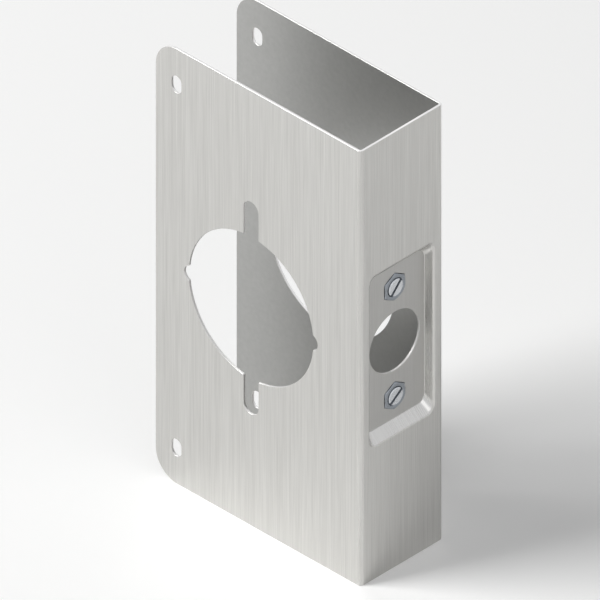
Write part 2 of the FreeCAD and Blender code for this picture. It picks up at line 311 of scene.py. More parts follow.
def apply(piece: bpy.types.Object, kind: str, **settings: Any) -> None:
    """Adds a modifier and applies it.

    Args:
        piece: The object that it changes.
        kind: The modifier's type.
        settings: The modifier's own properties.
    """
    only(piece)
    modifier = piece.modifiers.new(kind.title(), kind)
    for key, setting in settings.items():
        setattr(modifier, key, setting)
    bpy.ops.object.modifier_apply(modifier=modifier.name)


def combine(piece: bpy.types.Object, tool: bpy.types.Object, work: Work) -> None:
    """Cuts, joins or trims a piece with a tool object, and deletes the tool.

    Args:
        piece: The object that changes.
        tool: The object that changes it.
        work: What the tool does.
    """
    apply(piece, "BOOLEAN", operation=work.value, object=tool, solver="EXACT")
    mesh = tool.data
    bpy.data.objects.remove(tool)
    bpy.data.meshes.remove(mesh)


def soften(piece: bpy.types.Object, width: float, spared: Callable[[Vector], bool] | None = None) -> None:
    """Rounds every sharp edge a little, and shades the piece.

    Args:
        piece: The piece to finish.
        width: How far the break reaches from the edge.
        spared: Tells from the middle of an edge whether it stays as it is.
    """
    def is_broken(edge: bmesh.types.BMEdge) -> bool:
        """Whether an edge is sharp and isn't spared."""
        return edge.calc_face_angle(0.0) > SHARP_ANGLE and not (spared and spared(middle(edge)))

    with edit(piece):
        pick(piece, Element.EDGE, is_broken)
        bpy.ops.mesh.bevel(
            offset=width, segments=BREAK_STEPS, affect="EDGES", clamp_overlap=True, miter_outer="ARC"
        )
    shade(piece)


def shade(piece: bpy.types.Object) -> None:
    """Shades a piece smooth between its sharp edges, with flat faces that stay flat.

    Args:
        piece: The piece to finish.
    """
    only(piece)
    bpy.ops.object.shade_smooth_by_angle(angle=SMOOTH_ANGLE)
    apply(piece, "WEIGHTED_NORMAL", mode="FACE_AREA", weight=LARGE_FACES_LEAD, keep_sharp=True)


def add_node(tree: bpy.types.NodeTree, kind: str, inputs: dict | None = None, **settings: Any) -> Any:
    """Adds a shader node with its settings, and sets or links its inputs.

    Args:
        tree: The material's node tree.
        kind: The node's type name, such as ShaderNodeMath.
        inputs: Socket name or place to a number, a colour or another node's output.
        settings: The node's own properties.

    Returns:
        The new node.
    """
    node = tree.nodes.new(kind)
    for key, setting in settings.items():
        setattr(node, key, setting)
    for key, given in (inputs or {}).items():
        if isinstance(given, bpy.types.NodeSocket):
            tree.links.new(given, node.inputs[key])
        else:
            node.inputs[key].default_value = given
    return node


def new_material(name: str) -> tuple[bpy.types.Material, bpy.types.NodeTree, Any]:
    """Makes a material with only its output node.

    Args:
        name: The finish's name.

    Returns:
        The material, its tree and the tree's output node.
    """
    material = bpy.data.materials.new(name)
    material.use_nodes = True
    tree = material.node_tree
    tree.nodes.clear()
    return material, tree, add_node(tree, "ShaderNodeOutputMaterial")


def layered(tree: bpy.types.NodeTree, base: Any, *layers: tuple[Any, Any]) -> Any:
    """Lays colours one over another, each as far as its own mask lets it show.

    Args:
        tree: The material's node tree.
        base: The colour at the bottom, or its socket.
        layers: A mask and a colour for each layer, from the lowest up.

    Returns:
        The socket of the colour that shows.
    """
    colour = base
    for mask, over in layers:
        inputs = {"Factor": mask, COLOUR_A: colour, COLOUR_B: over}
        colour = add_node(tree, "ShaderNodeMix", inputs, data_type="RGBA").outputs[COLOUR_OUT]
    return colour


def where_all(tree: bpy.types.NodeTree, *tests: tuple[Any, Test, float]) -> Any:
    """Builds a mask from tests that all have to hold.

    Args:
        tree: The material's node tree.
        tests: For each one a value's socket, how it is compared, and its limit.

    Returns:
        A socket that is 1 where every test holds and 0 elsewhere.
    """
    mask = None
    for value, test, limit in tests:
        passed = add_node(tree, "ShaderNodeMath", {0: value, 1: limit}, operation=test.value).outputs[0]
        if mask is not None:
            passed = add_node(tree, "ShaderNodeMath", {0: mask, 1: passed}, operation="MULTIPLY").outputs[0]
        mask = passed
    return mask


def where_any(tree: bpy.types.NodeTree, *masks: Any) -> Any:
    """Joins masks, of which one has to hold.

    Args:
        tree: The material's node tree.
        masks: The masks' sockets.

    Returns:
        A socket that is 1 where any mask is 1 and 0 elsewhere.
    """
    joined = masks[0]
    for mask in masks[1:]:
        joined = add_node(tree, "ShaderNodeMath", {0: joined, 1: mask}, operation="MAXIMUM").outputs[0]
    return joined


@dataclass(frozen=True)
class Spot:
    """Where a point of the plate lies and which way its face looks, each as a socket."""

    place: Any
    x: Any
    y: Any
    z: Any
    y_size: Any
    z_size: Any
    off_axis: Any
    facing_x: Any
    facing_x_size: Any
    facing_y_size: Any

    @classmethod
    def of(cls, tree: bpy.types.NodeTree) -> "Spot":
        """Reads a point's place and its face's direction, with and without their signs.

        Args:
            tree: The material's node tree.

        Returns:
            The sockets.
        """
        place = add_node(tree, "ShaderNodeTexCoord").outputs["Object"]
        facing = add_node(tree, "ShaderNodeNewGeometry").outputs["True Normal"]
        sizes = add_node(tree, "ShaderNodeVectorMath", {0: place}, operation="ABSOLUTE").outputs[0]
        turns = add_node(tree, "ShaderNodeVectorMath", {0: facing}, operation="ABSOLUTE").outputs[0]
        level = add_node(tree, "ShaderNodeVectorMath", {0: place, 1: (0, 1, 1)}, operation="MULTIPLY")
        off_axis = add_node(tree, "ShaderNodeVectorMath", {0: level.outputs[0]}, operation="LENGTH")
        x, y, z = add_node(tree, "ShaderNodeSeparateXYZ", {0: place}).outputs
        _, y_size, z_size = add_node(tree, "ShaderNodeSeparateXYZ", {0: sizes}).outputs
        facing_x = add_node(tree, "ShaderNodeSeparateXYZ", {0: facing}).outputs[0]
        facing_x_size, facing_y_size, _ = add_node(tree, "ShaderNodeSeparateXYZ", {0: turns}).outputs
        return cls(
            place, x, y, z, y_size, z_size, off_axis.outputs["Value"], facing_x, facing_x_size, facing_y_size
        )


@dataclass(frozen=True)
class SheetMarks:
    """Where making the plate left its marks, and where its pocket's floor gets its painted shade, from the
    plate's own sizes.
    """

    high: Vector
    gauge: float
    fold_radius: float
    latch_radius: float
    pocket_depth: float
    rim: tuple[float, float]
    """Half of the pocket rim's width and length."""
    slack: float = 0.05 * MM
    edge_on: float = 0.3
    """A face lies edge-on to an axis where its normal's part along that axis is below this."""
    backward: float = 0.1
    fade_slacks: int = 3
    # How many slacks above the pocket's floor its painted shade has faded out.
    """How many slacks above the pocket's floor its flattened grain has faded out."""

    def sheared(self, tree: bpy.types.NodeTree, spot: Spot) -> Any:
        """Finds the sheet's ends, its free edges, and the walls of what pierces it.

        Args:
            tree: The material's tree.
            spot: The point's sockets.

        Returns:
            A socket that is 1 on a sheared face and 0 elsewhere.
        """
        flange_wall = where_all(
            tree,
            (spot.y_size, Test.PAST, self.high.y - self.gauge - self.slack),
            (spot.facing_y_size, Test.BELOW, self.edge_on),
            (spot.x, Test.BELOW, self.high.x - self.fold_radius),
        )
        end = where_all(tree, (spot.z_size, Test.PAST, self.high.z - self.slack))
        latch_wall = where_all(
            tree,
            (spot.off_axis, Test.BELOW, self.latch_radius + self.slack),
            (spot.x, Test.PAST, self.high.x - self.pocket_depth - self.gauge - self.slack),
            (spot.facing_x_size, Test.BELOW, self.edge_on),
        )
        return where_any(tree, flange_wall, end, latch_wall)

    def stretched(self, tree: bpy.types.NodeTree, spot: Spot) -> Any:
        """Finds the two folds and the walls of the pressed pocket.

        Args:
            tree: The material's tree.
            spot: The point's sockets.

        Returns:
            A socket that is 1 on a fold or a pressed wall and 0 elsewhere.
        """
        fold = where_all(
            tree,
            (spot.y_size, Test.PAST, self.high.y - self.fold_radius),
            (spot.x, Test.PAST, self.high.x - self.fold_radius),
        )
        half_width, half_length = self.rim
        wall = where_all(
            tree,
            (spot.x, Test.BELOW, self.high.x - self.slack),
            (spot.x, Test.PAST, self.high.x - self.pocket_depth + self.slack),
            (spot.y_size, Test.BELOW, half_width + self.gauge),
            (spot.z_size, Test.BELOW, half_length + self.gauge),
        )
        return where_any(tree, fold, wall)

    def pressed(self, tree: bpy.types.NodeTree, spot: Spot) -> Any:
        """Finds the pocket's floor, which is painted darker as the shade in its recess.

        Args:
            tree: The material's tree.
            spot: The point's sockets.

        Returns:
            A socket that is 1 on the floor and fades out over its rounded edge.
        """
        level = self.high.x - self.pocket_depth
        front = where_all(
            tree, (spot.x, Test.PAST, level - self.slack), (spot.y_size, Test.BELOW, self.rim[0])
        )
        start, end = level + self.slack, level + self.fade_slacks * self.slack
        inputs = {"Value": spot.x, "From Min": start, "From Max": end, "To Min": 1.0, "To Max": 0.0}
        fading = add_node(tree, "ShaderNodeMapRange", inputs).outputs[0]
        return add_node(tree, "ShaderNodeMath", {0: front, 1: fading}, operation="MULTIPLY").outputs[0]

    def inner(self, tree: bpy.types.NodeTree, spot: Spot) -> Any:
        """Finds the sheet's inner face, which bears on the door.

        Args:
            tree: The material's tree.
            spot: The point's sockets.

        Returns:
            A socket that is 1 on the inner face and 0 elsewhere.
        """
        return where_all(
            tree,
            (spot.y_size, Test.BELOW, self.high.y - self.gauge + self.slack),
            (spot.x, Test.BELOW, self.high.x - self.gauge + self.slack),
            (spot.facing_x, Test.BELOW, self.backward),
        )

    def across(self, tree: bpy.types.NodeTree, spot: Spot) -> Any:
        """Says where a point lies across the flat sheet, so that lines run on down the pocket's walls.

        Args:
            tree: The material's tree.
            spot: The point's sockets.

        Returns:
            The object coordinates, with no X between the folds.
        """
        beyond = where_all(tree, (spot.y_size, Test.PAST, self.high.y - self.fold_radius))
        kept = add_node(tree, "ShaderNodeMath", {0: spot.x, 1: beyond}, operation="MULTIPLY").outputs[0]
        return add_node(tree, "ShaderNodeCombineXYZ", {"X": kept, "Y": spot.y, "Z": spot.z}).outputs[0]


@dataclass(frozen=True)
class BrushedStainless:
    """Satin stainless sheet, belt-ground on its outer face before it is folded.

    The belt leaves fine upright lines, so highlights spread sideways across them. The inner face
    keeps the mill's own finish, which is duller, darker and has no lines. The bare edge is a little
    brighter and rougher where the sheet is sheared or pierced, and the metal is smoother where
    a fold or the press has stretched it. The pocket's floor is painted darker, as painted shade in
    the recess.
    """

    light: str = "#d4d3d0"
    dark: str = "#c5c4c1"
    sheared: str = "#e6e5e3"
    # Painted shade: the darker tone laid on the pocket's floor, for the shade in the recess.
    pressed: str = "#aeadab"
    mill: str = "#bcbcba"
    mill_dark: str = "#afafad"
    mill_roughness: float = 0.42
    mill_spot: float = 1.5 * MM
    mill_detail: float = 4.0
    roughness: float = 0.36
    sheared_roughness: float = 0.5
    stretched_drop: float = 0.1
    # How far the pocket's floor goes towards its painted shade.
    floor_shade_share: float = 0.6
    grain_width: float = 0.35 * MM
    """Real belt lines are about 0.08 mm wide: these are drawn as coarse as a render can show."""
    grain_length: float = 28 * MM
    grain_depth: float = 0.0035 * MM
    grain_detail: float = 3.0
    grain_unevenness: float = 0.6
    grain_swing: tuple[float, float] = (0.05, -0.04)
    """How much rougher the dark lines and how much smoother the light lines are."""
    scratch_width: float = 1.6 * MM
    scratch_length: float = 84 * MM
    scratch_share: float = 0.35
    tone_span: tuple[float, float] = (0.45, 0.9)
    """The lines' strength at which they are all dark, and all light."""
    cloud_size: float = 35 * MM
    cloud_detail: float = 2.0
    cloud_span: tuple[float, float] = (0.35, 0.65)
    cloud_swing: float = 0.03
    anisotropy: float = 0.5

    def make(self, marks: SheetMarks) -> bpy.types.Material:
        """Builds the finish for the plate.

        Args:
            marks: Where the sheet is sheared, folded and pressed.

        Returns:
            The material.
        """
        material, tree, output = new_material("satin_brushed_stainless")
        spot = Spot.of(tree)
        across = marks.across(tree, spot)
        lines = self.streaks(tree, across, self.grain_width, self.grain_length)
        scratches = self.streaks(tree, across, self.scratch_width, self.scratch_length)
        inputs = {0: scratches, 1: self.scratch_share, 2: lines}
        grain = add_node(tree, "ShaderNodeMath", inputs, operation="MULTIPLY_ADD").outputs[0]
        all_dark, all_light = self.tone_span
        inputs = {"Value": grain, "From Min": all_dark, "From Max": all_light}
        tone = add_node(tree, "ShaderNodeMapRange", inputs).outputs[0]
        sheared, inner = marks.sheared(tree, spot), marks.inner(tree, spot)
        colour = self.colour(tree, marks, spot, tone, sheared, inner)
        rough = self.unevenness(tree, marks, spot, tone)
        inputs = {"Factor": inner, NUMBER_A: rough, NUMBER_B: self.mill_roughness}
        rough = add_node(tree, "ShaderNodeMix", inputs).outputs[0]
        inputs = {"Factor": sheared, NUMBER_A: rough, NUMBER_B: self.sheared_roughness}
        rough = add_node(tree, "ShaderNodeMix", inputs).outputs[0]
        ground = add_node(tree, "ShaderNodeMath", {0: 1.0, 1: inner}, operation="SUBTRACT").outputs[0]
        height = add_node(tree, "ShaderNodeMath", {0: lines, 1: ground}, operation="MULTIPLY").outputs[0]
        inputs = {"Height": height, "Distance": self.grain_depth, "Strength": 1.0}
        relief = add_node(tree, "ShaderNodeBump", inputs).outputs[0]
        around = add_node(tree, "ShaderNodeTangent", direction_type="RADIAL", axis="Z").outputs[0]
        steel = {"Base Color": colour, "Metallic": 1.0, "Roughness": rough, "Anisotropic": self.anisotropy}
        directions = {"Normal": relief, "Tangent": around}
        shader = add_node(tree, "ShaderNodeBsdfPrincipled", steel | directions)
        tree.links.new(shader.outputs[0], output.inputs[0])
        return material

    def colour(
        self, tree: bpy.types.NodeTree, marks: SheetMarks, spot: Spot, tone: Any, sheared: Any, inner: Any
    ) -> Any:
        """Lays the steel's tones over one another.

        Args:
            tree: The material's tree.
            marks: Where the sheet is sheared, folded and pressed.
            spot: The point's sockets.
            tone: How light the belt's lines are.
            sheared: The mask of the sheared faces.
            inner: The mask of the inner face.

        Returns:
            The colour's socket.
        """
        # Painted shade: the pocket's floor is laid darker, as the recess's shade, fading out over its
        # rounded edge.
        floor = marks.pressed(tree, spot)
        inputs = {0: floor, 1: self.floor_shade_share}
        painted_floor_shade = add_node(tree, "ShaderNodeMath", inputs, operation="MULTIPLY").outputs[0]
        inputs = {"Vector": spot.place, "Scale": 1 / self.mill_spot, "Detail": self.mill_detail}
        spots = add_node(tree, "ShaderNodeTexNoise", inputs).outputs[0]
        return layered(
            tree,
            linear(self.dark),
            (tone, linear(self.light)),
            (painted_floor_shade, linear(self.pressed)),
            (inner, layered(tree, linear(self.mill_dark), (spots, linear(self.mill)))),
            (sheared, linear(self.sheared)),
        )

    def unevenness(self, tree: bpy.types.NodeTree, marks: SheetMarks, spot: Spot, tone: Any) -> Any:
        """Makes the ground face rougher in its dark lines and smoother where it was stretched.

        Args:
            tree: The material's tree.
            marks: Where the sheet is sheared, folded and pressed.
            spot: The point's sockets.
            tone: How light the belt's lines are.

        Returns:
            The roughness's socket.
        """
        in_dark, in_light = [self.roughness + swing for swing in self.grain_swing]
        inputs = {"Value": tone, "From Min": 0.0, "From Max": 1.0, "To Min": in_dark, "To Max": in_light}
        gloss = add_node(tree, "ShaderNodeMapRange", inputs).outputs[0]
        inputs = {"Vector": spot.place, "Scale": 1 / self.cloud_size, "Detail": self.cloud_detail}
        clouds = add_node(tree, "ShaderNodeTexNoise", inputs).outputs[0]
        thin, thick = self.cloud_span
        inputs = {"Value": clouds, "From Min": thin, "From Max": thick}
        swing = {"To Min": -self.cloud_swing, "To Max": self.cloud_swing}
        mottled = add_node(tree, "ShaderNodeMapRange", inputs | swing).outputs[0]
        rough = add_node(tree, "ShaderNodeMath", {0: gloss, 1: mottled}, operation="ADD").outputs[0]
        inputs = {0: marks.stretched(tree, spot), 1: -self.stretched_drop, 2: rough}
        return add_node(tree, "ShaderNodeMath", inputs, operation="MULTIPLY_ADD").outputs[0]

    def streaks(self, tree: bpy.types.NodeTree, place: Any, width: float, length: float) -> Any:
        """Draws upright lines: noise drawn out along Z.

        Args:
            tree: The material's tree.
            place: The object coordinates.
            width: How wide a line is.
            length: How long a line is.

        Returns:
            A socket from 0 to 1.
        """
        scale = (1 / width, 1 / width, 1 / length)
        drawn_out = add_node(tree, "ShaderNodeMapping", {"Vector": place, "Scale": scale}).outputs[0]
        inputs = {"Vector": drawn_out, "Scale": 1.0, "Detail": self.grain_detail}
        inputs["Roughness"] = self.grain_unevenness
        return add_node(tree, "ShaderNodeTexNoise", inputs).outputs[0]


@dataclass(frozen=True)
class ZincPlate:
    """Bright zinc plate on turned steel: cool, fairly glossy, with the ring marks of the tool."""

    name: str
    tint: str
    shade: str
    roughness: float
    ring_spacing: float = 0.3 * MM
    """A real facing cut leaves rings 0.1 mm apart: these are drawn as coarse as a render can show."""
    ring_depth: float = 0.003 * MM
    ring_strength: float = 0.6
    ring_wobble: float = 0.4
    mottle_size: float = 0.8 * MM
    mottle_detail: float = 3.0
    mottle_span: tuple[float, float] = (0.3, 0.7)
    mottle_swing: tuple[float, float] = (-0.05, 0.07)
    recess_shade: str = "#7f848a"
    # Painted shade: a darker grey laid over all that lies deeper than the front face, such as the driver
    # slot, the nut's seat and bore and the thread, as the shade in these recesses.
    """The plating is thin and grey where the bath hardly reaches: in the driver slot and the thread."""
    recess_shade_share: float = 0.7
    dull_rise: float = 0.12
    recess_start: float = 0.12 * MM
    recess_end: float = 0.5 * MM

    def make(self, position: Position, height: float, front: float) -> bpy.types.Material:
        """Builds the finish for one fastener, with the rings centred on its axis.

        Args:
            position: Which of the two fasteners it is.
            height: Where the fastener's axis crosses Z.
            front: Where its front face lies along X.

        Returns:
            The material.
        """
        material, tree, output = new_material(f"{self.name}_{position.name.lower()}")
        place = add_node(tree, "ShaderNodeTexCoord").outputs["Object"]
        inputs = {"Vector": place, "Scale": 1 / self.mottle_size, "Detail": self.mottle_detail}
        mottle = add_node(tree, "ShaderNodeTexNoise", inputs).outputs[0]
        # Painted shade: the deeper behind the front face, the darker the colour; the same mask also makes it
        # rougher.
        depth = add_node(tree, "ShaderNodeSeparateXYZ", {0: place}).outputs[0]
        inputs = {"Value": depth, "From Min": front - self.recess_end, "From Max": front - self.recess_start}
        shares = {"To Min": self.recess_shade_share, "To Max": 0.0}
        shade_and_dullness = add_node(tree, "ShaderNodeMapRange", inputs | shares).outputs[0]
        colour = layered(
            tree, linear(self.shade), (mottle, linear(self.tint)), (shade_and_dullness, linear(self.recess_shade))
        )
        low, high = self.mottle_span
        smooth, rough = [self.roughness + swing for swing in self.mottle_swing]
        inputs = {"Value": mottle, "From Min": low, "From Max": high, "To Min": smooth, "To Max": rough}
        gloss = add_node(tree, "ShaderNodeMapRange", inputs).outputs[0]
        inputs = {0: shade_and_dullness, 1: self.dull_rise, 2: gloss}
        roughness = add_node(tree, "ShaderNodeMath", inputs, operation="MULTIPLY_ADD").outputs[0]
        inputs = {"Base Color": colour, "Metallic": 1.0, "Roughness": roughness}
        inputs["Normal"] = self.rings(tree, place, height)
        shader = add_node(tree, "ShaderNodeBsdfPrincipled", inputs)
        tree.links.new(shader.outputs[0], output.inputs[0])
        return material

    def rings(self, tree: bpy.types.NodeTree, place: Any, height: float) -> Any:
        """Presses the tool's rings into the surface.

        Args:
            tree: The material's tree.
            place: The object coordinates.
            height: Where the rings' axis crosses Z.

        Returns:
            The normal's socket.
        """
        inputs = {"Vector": place, "Location": (0, 0, -height)}
        centred = add_node(tree, "ShaderNodeMapping", inputs).outputs[0]
        scale = math.tau / (WAVE_RATE * self.ring_spacing)
        inputs = {"Vector": centred, "Scale": scale, "Distortion": self.ring_wobble}
        rings = add_node(tree, "ShaderNodeTexWave", inputs, wave_type="RINGS", rings_direction="X")
        inputs = {"Height": rings.outputs[1], "Distance": self.ring_depth, "Strength": self.ring_strength}
        return add_node(tree, "ShaderNodeBump", inputs).outputs[0]


# The nuts' plate is darker than the screws', so that the two read apart as they do in the drawing.
NUT_ZINC = ZincPlate("bright_zinc_nut", tint="#a3a8ae", shade="#8d9298", roughness=0.3)
SCREW_ZINC = ZincPlate("bright_zinc_screw", tint="#e4e6e9", shade="#d2d5d9", roughness=0.26)


@dataclass
class Piece(ABC):
    """A piece of the product, modelled afresh in place of one CAD node."""

    node: str
    low: Vector
    high: Vector
    slot: ClassVar[str]

    @property
    def height(self) -> float:
        """Where the piece's middle lies along Z."""
        return (self.low.z + self.high.z) / 2

    @abstractmethod
    def build(self) -> bpy.types.Object:
        """Models the piece as one closed mesh."""

    @abstractmethod
    def finish(self) -> bpy.types.Material:
        """Makes the piece's material."""

    def dress(self, mesh: bpy.types.Object) -> None:
        """Gives the finished mesh its material and its body, and hides the CAD node that it stands for.

        Args:
            mesh: The mesh that build has made.
        """
        mesh.data.materials.clear()
        mesh.data.materials.append(self.finish())
        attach(mesh, ROOT_BODY)
        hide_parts(self.node)


@dataclass
class ReinforcerPlate(Piece):
    """The folded sheet: flanges, web, pressed latch pocket and all its holes."""

    bore_radius: float
    latch_radius: float
    gauge: float
    slot_centre: Vector
    slot_width: float
    slot_length: float
    nut_heights: tuple[float, ...]
    nut_flats: float = 9.1 * MM
    """Across the flats of a nut's hexagonal hole."""
    fold_radius: float = 1.5 * MM
    fold_steps: int = 8
    corner_radius: float = 9.5 * MM
    corner_steps: int = 20
    relief_width: float = 6.5 * MM
    relief_reach: float = 40.2 * MM
    notch_radius: float = 2.9 * MM
    notch_reach: float = 28.9 * MM
    floor_size: tuple[float, float] = (26.3 * MM, 58.05 * MM)
    drafts: tuple[float, float] = (1.1 * MM, 3.2 * MM)
    pocket_depth: float = 3.2 * MM
    pocket_corner: float = 2.6 * MM
    pocket_corner_steps: int = 6
    rim_press: float = 0.75 * MM
    floor_press: float = 0.25 * MM
    press_steps: int = 5
    cutter_gauges: int = 4
    """How many gauges long the cutters for the pocket's floor are."""
    scribe_shift: float = 0.3 * MM
    """How far the scribed lines lie off the holes' centres, where an outline may have a corner."""
    shortest: float = 0.05 * MM
    """The shortest edge that is kept before the sheet gets its thickness."""
    edge_break: float = 0.18 * MM
    slot: ClassVar[str] = "plate_sheet"

    def build(self) -> bpy.types.Object:
        """Models the sheet in the order in which it is made: folded, pressed, pierced and broken.

        Returns:
            The finished plate, one closed mesh.
        """
        plate = self.fold()
        self.press_pocket(plate)
        self.lay_out(plate)
        apply(plate, "SOLIDIFY", thickness=self.gauge, offset=-1.0, use_even_offset=True)
        self.pierce(plate)
        soften(plate, self.edge_break, self.is_on_pocket_wall)
        return plate

    def finish(self) -> bpy.types.Material:
        """Makes the brushed steel, marked where this plate is sheared, folded and pressed.

        Returns:
            The material.
        """
        marks = SheetMarks(
            self.high, self.gauge, self.fold_radius, self.latch_radius, self.pocket_depth, self.half_rim()
        )
        return BrushedStainless().make(marks)

    def half_rim(self) -> tuple[float, float]:
        """Half of the pocket rim's width and length."""
        return self.floor_size[0] / 2 + self.drafts[0], self.floor_size[1] / 2 + self.drafts[1]

    def fold(self) -> bpy.types.Object:
        """Makes a block's near, outer and far faces, rounded at the folds and at the free corners.

        Returns:
            The outer skin of the sheet, still with no thickness.
        """
        plate = block("folded_plate", self.low, self.high)
        with edit(plate):
            pick(plate, Element.FACE, lambda f: abs(f.normal.z) > SQUARE_ON or f.normal.x < -SQUARE_ON)
            bpy.ops.mesh.delete(type="ONLY_FACE")
            pick(plate, Element.EDGE, lambda e: len(e.link_faces) == 0)
            bpy.ops.mesh.delete(type="EDGE")
            pick(plate, Element.EDGE, lambda e: len(e.link_faces) == 2)
            bpy.ops.mesh.bevel(offset=self.fold_radius, segments=self.fold_steps, affect="EDGES")
            pick(plate, Element.VERT, lambda v: v.co.x < self.low.x + SMALL)
            bpy.ops.mesh.bevel(offset=self.corner_radius, segments=self.corner_steps, affect="VERTICES")
        return plate

    def press_pocket(self, plate: bpy.types.Object) -> None:
        """Marks the pocket's rim out on the web, pushes its floor in and rounds what the press rounds.

        Args:
            plate: The outer skin of the sheet.
        """
        floor_width, floor_length = self.floor_size
        half_width, half_length = self.half_rim()
        web, floor = self.high.x, self.high.x - self.pocket_depth

        def is_web(face: bmesh.types.BMFace) -> bool:
            """Whether a face looks straight out of the web."""
            return face.normal.x > SQUARE_ON

        with edit(plate):
            for sign in (1, -1):
                bpy.ops.mesh.select_all(action="SELECT")
                saw((0, 0, sign * half_length), (0, 0, 1))
                pick(plate, Element.FACE, is_web)
                saw((0, sign * half_width, 0), (0, 1, 0))
            pick(plate, Element.FACE, lambda f: is_web(f) and self.is_in_rim(f.calc_center_median(), SMALL))
            bpy.ops.mesh.extrude_region_move(TRANSFORM_OT_translate={"value": (-self.pocket_depth, 0, 0)})
            bpy.ops.transform.resize(
                value=(1, floor_width / 2 / half_width, floor_length / 2 / half_length),
                center_override=(floor, 0, 0),
            )
            deep = self.pocket_depth / 2
            pick(plate, Element.EDGE, lambda e: abs(e.verts[0].co.x - e.verts[1].co.x) > deep)
            bpy.ops.mesh.bevel(
                offset=self.pocket_corner, segments=self.pocket_corner_steps, affect="EDGES"
            )
            for level, reach in ((floor, self.floor_press), (web, self.rim_press)):
                pick(plate, Element.EDGE, lambda e: self.is_pocket_edge(e, level))
                bpy.ops.mesh.bevel(offset=reach, segments=self.press_steps, affect="EDGES")

    def is_in_rim(self, point: Vector, margin: float) -> bool:
        """Whether a point lies within the pocket's rim, seen along X.

        Args:
            point: The point.
            margin: How far outside the rim still counts.

        Returns:
            True within the rim or its margin.
        """
        half_width, half_length = self.half_rim()
        return abs(point.y) < half_width + margin and abs(point.z) < half_length + margin

    def is_on_pocket_wall(self, point: Vector) -> bool:
        """Whether a point lies on a wall or the rim of the pocket, which the press alone rounds."""
        return self.is_in_rim(point, self.gauge) and point.x > self.high.x - self.pocket_depth + SMALL

    def is_pocket_edge(self, edge: bmesh.types.BMEdge, level: float) -> bool:
        """Whether an edge parts a flat face from one of the pocket's walls.

        Args:
            edge: The edge.
            level: Where the flat face lies along X.

        Returns:
            True for an edge of the floor or the rim.
        """
        point = middle(edge)
        flat = [face for face in edge.link_faces if face.normal.x > SQUARE_ON]
        parts_two = len(edge.link_faces) == 2 and len(flat) == 1
        return abs(point.x - level) < SMALL and parts_two and self.is_in_rim(point, self.gauge)

    def lay_out(self, plate: bpy.types.Object) -> None:
        """Scribes a level line through each hole, so that its outline needs no other line to reach it.

        Args:
            plate: The pressed skin of the sheet.
        """
        heights = (0.0, self.slot_centre.z, -self.slot_centre.z, *self.nut_heights)
        with edit(plate):
            for height in heights:
                bpy.ops.mesh.select_all(action="SELECT")
                saw((0, 0, height + self.scribe_shift), (0, 0, 1))
            bpy.ops.mesh.select_all(action="SELECT")
            bpy.ops.mesh.remove_doubles(threshold=self.shortest)

    def pierce(self, plate: bpy.types.Object) -> None:
        """Cuts the bore with its reliefs, the screw slots, the latch hole and the nuts' holes.

        Args:
            plate: The pressed sheet, with its thickness.
        """
        through = OVERSHOOT * (self.high.y - self.low.y)
        centre = Vector((0, 0, 0))
        cutters = [
            rod("bore_cutter", Axis.Y, centre, self.bore_radius, through, BORE_SIDES),
            upright_slot("relief_cutter", centre, self.relief_width, 2 * self.relief_reach, through),
        ]
        for sign in (1, -1):
            notch = Vector((sign * (self.notch_reach - self.notch_radius), 0, 0))
            cutters.append(rod("notch_cutter", Axis.Y, notch, self.notch_radius, through, SLOT_SIDES))
            place = Vector((self.slot_centre.x, 0, sign * self.slot_centre.z))
            cutters.append(upright_slot("slot_cutter", place, self.slot_width, self.slot_length, through))
        floor = Vector((self.high.x - self.pocket_depth, 0, 0))
        reach = self.cutter_gauges * self.gauge
        cutters.append(rod("latch_cutter", Axis.X, floor, self.latch_radius, reach, BORE_SIDES // 2))
        corner = self.nut_flats / math.sqrt(3)
        for height in self.nut_heights:
            place = Vector((floor.x, 0, height))
            cutters.append(rod("nut_cutter", Axis.X, place, corner, reach, HEXAGON_SIDES))
        for cutter in cutters:
            combine(plate, cutter, Work.CUT)


@dataclass
class Fastener(Piece):
    """A zinc-plated fastener along X in the pocket's floor."""

    zinc: ClassVar[ZincPlate]

    @property
    def position(self) -> Position:
        """Whether it is the upper or the lower one, as its node's name says."""
        return Position[self.node.split("_")[0].upper()]

    @property
    def name(self) -> str:
        """The name of its mesh."""
        return f"{self.node}_body"

    def finish(self) -> bpy.types.Material:
        """Makes the zinc plate, with its rings centred on this fastener."""
        return self.zinc.make(self.position, self.height, self.high.x)


